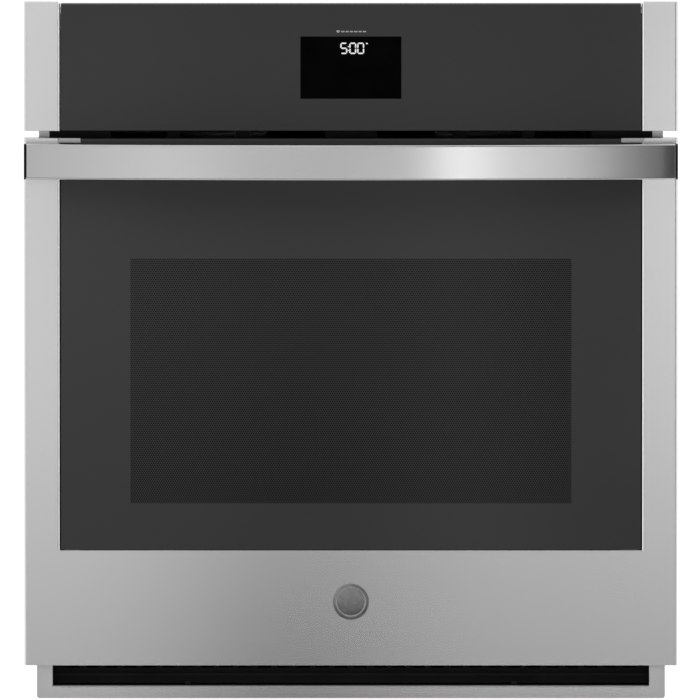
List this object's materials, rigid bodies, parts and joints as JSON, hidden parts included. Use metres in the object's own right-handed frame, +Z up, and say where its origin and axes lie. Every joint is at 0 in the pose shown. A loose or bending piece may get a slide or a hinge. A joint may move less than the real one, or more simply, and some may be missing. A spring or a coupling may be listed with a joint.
{
  "type": "built-in wall oven",
  "caption": "Single electric wall oven with a drop-down glass door, bowed bar handle, touch control panel, convection fan and pull-out racks.",
  "frame": {"origin": "middle of the width, on the plane of the cabinet's face, at the height of the foot of the front", "axes": "+X to the right seen from the front, +Y into the cabinet, +Z up"},
  "size_m": [0.6794, 0.6842, 0.7271],
  "materials": {
    "flange_steel": "satin",
    "galvanised_sheet": "satin",
    "brushed_stainless": "satin",
    "black_paint": "matte",
    "oven_enamel": "gloss",
    "gasket_fabric": "matte",
    "glass_wool": "matte",
    "element_alloy": "matte",
    "plated_wire": "gloss",
    "clear_glass": "gloss",
    "motor_paint": "satin",
    "dark_glass": "gloss",
    "black_plastic": "gloss",
    "circuit_board": "matte",
    "wire_insulation": "satin",
    "white_plastic": "satin",
    "zinc_plated": "satin",
    "handle_steel": "satin",
    "spring_steel": "satin"
  },
  "bodies": {
    "chassis": {"front_frame": "flange_steel", "side_panel_left": "galvanised_sheet", "side_panel_right": "galvanised_sheet", "top_cover": "galvanised_sheet", "base_pan": "galvanised_sheet", "rear_cover": "galvanised_sheet", "bottom_vent_trim": "brushed_stainless", "vent_recess": "black_paint", "oven_liner": "oven_enamel", "door_gasket": "gasket_fabric", "insulation": "glass_wool", "bake_element": "element_alloy", "broil_element": "element_alloy", "convection_element": "element_alloy", "fan_cover": "oven_enamel", "fan_motor": "galvanised_sheet", "rack_ladder_left": "plated_wire", "rack_ladder_right": "plated_wire", "lamp_housing": "galvanised_sheet", "lamp_lens": "clear_glass", "lamp_bulb": "clear_glass", "temperature_probe": "plated_wire", "cavity_vent": "galvanised_sheet", "air_duct": "black_paint", "blower_housing": "galvanised_sheet", "blower_motor": "motor_paint", "control_glass": "dark_glass", "panel_end_cap_left": "brushed_stainless", "panel_end_cap_right": "brushed_stainless", "panel_chassis": "black_paint", "display_module": "black_plastic", "control_board": "circuit_board", "wiring_harness": "wire_insulation", "latch_motor": "galvanised_sheet", "door_switch": "white_plastic", "hinge_arms": "zinc_plated", "hinge_receivers": "zinc_plated", "junction_box": "galvanised_sheet", "terminal_block": "white_plastic", "chassis_screws": "plated_wire"},
    "door": {"door_skin": "brushed_stainless", "door_glass": "dark_glass", "window_panes": "clear_glass", "window_frame": "galvanised_sheet", "door_liner": "oven_enamel", "door_top_trim": "black_paint", "glass_clips": "brushed_stainless", "handle_bar": "handle_steel", "handle_posts": "handle_steel", "badge": "brushed_stainless", "hinge_channels": "zinc_plated", "door_springs": "spring_steel", "door_screws": "plated_wire"},
    "convection_fan_wheel": {"convection_fan": "plated_wire"},
    "blower_rotor": {"blower_wheel": "motor_paint"},
    "latch": {"latch_hook": "zinc_plated"},
    "door_plunger": {"switch_plunger": "white_plastic"},
    "upper_rack": {"rack_upper": "plated_wire"},
    "lower_rack": {"rack_lower": "plated_wire"},
    "rods": {"spring_rods": "zinc_plated"}
  },
  "joints": [
    {"name": "door_hinge", "type": "hinge", "parent": "chassis", "child": "door", "pos_m": [0, -0.022, 0.0445], "axis": [1, 0, 0], "range_deg": [0, 90], "stiffness_Nm_per_rad": 20, "springref_deg": -20.05},
    {"name": "rack_upper_slide", "type": "slide", "parent": "chassis", "child": "upper_rack", "axis": [0, -1, 0], "range_m": [0, 0.3]},
    {"name": "rack_lower_slide", "type": "slide", "parent": "chassis", "child": "lower_rack", "axis": [0, -1, 0], "range_m": [0, 0.19]},
    {"name": "convection_fan_spin", "type": "hinge", "parent": "chassis", "child": "convection_fan_wheel", "pos_m": [0, 0.49, 0.316], "axis": [0, 1, 0], "continuous": true},
    {"name": "cooling_blower_spin", "type": "hinge", "parent": "chassis", "child": "blower_rotor", "pos_m": [0, 0.42, 0.6], "axis": [0, 0, 1], "continuous": true},
    {"name": "latch_hook_swing", "type": "hinge", "parent": "chassis", "child": "latch", "pos_m": [-0.276, 0.014, 0.576], "axis": [0, 0, 1], "range_deg": [0, 18]},
    {"name": "door_switch_travel", "type": "slide", "parent": "chassis", "child": "door_plunger", "axis": [0, -1, 0], "range_m": [0, 0.0062]},
    {"name": "spring_rod_travel", "type": "slide", "parent": "door", "child": "rods", "axis": [0, 0, -1], "range_m": [0, 0.0145], "deforming": ["door_springs"]}
  ],
  "couplings": [
    {"joint": "rack_upper_slide", "follows": "door_hinge", "m_per_rad": 0.19},
    {"joint": "rack_lower_slide", "follows": "door_hinge", "m_per_rad": 0.12},
    {"joint": "door_switch_travel", "follows": "door_hinge", "m_per_rad": 0.0038},
    {"joint": "spring_rod_travel", "follows": "door_hinge", "m_per_rad": 0.009}
  ]
}
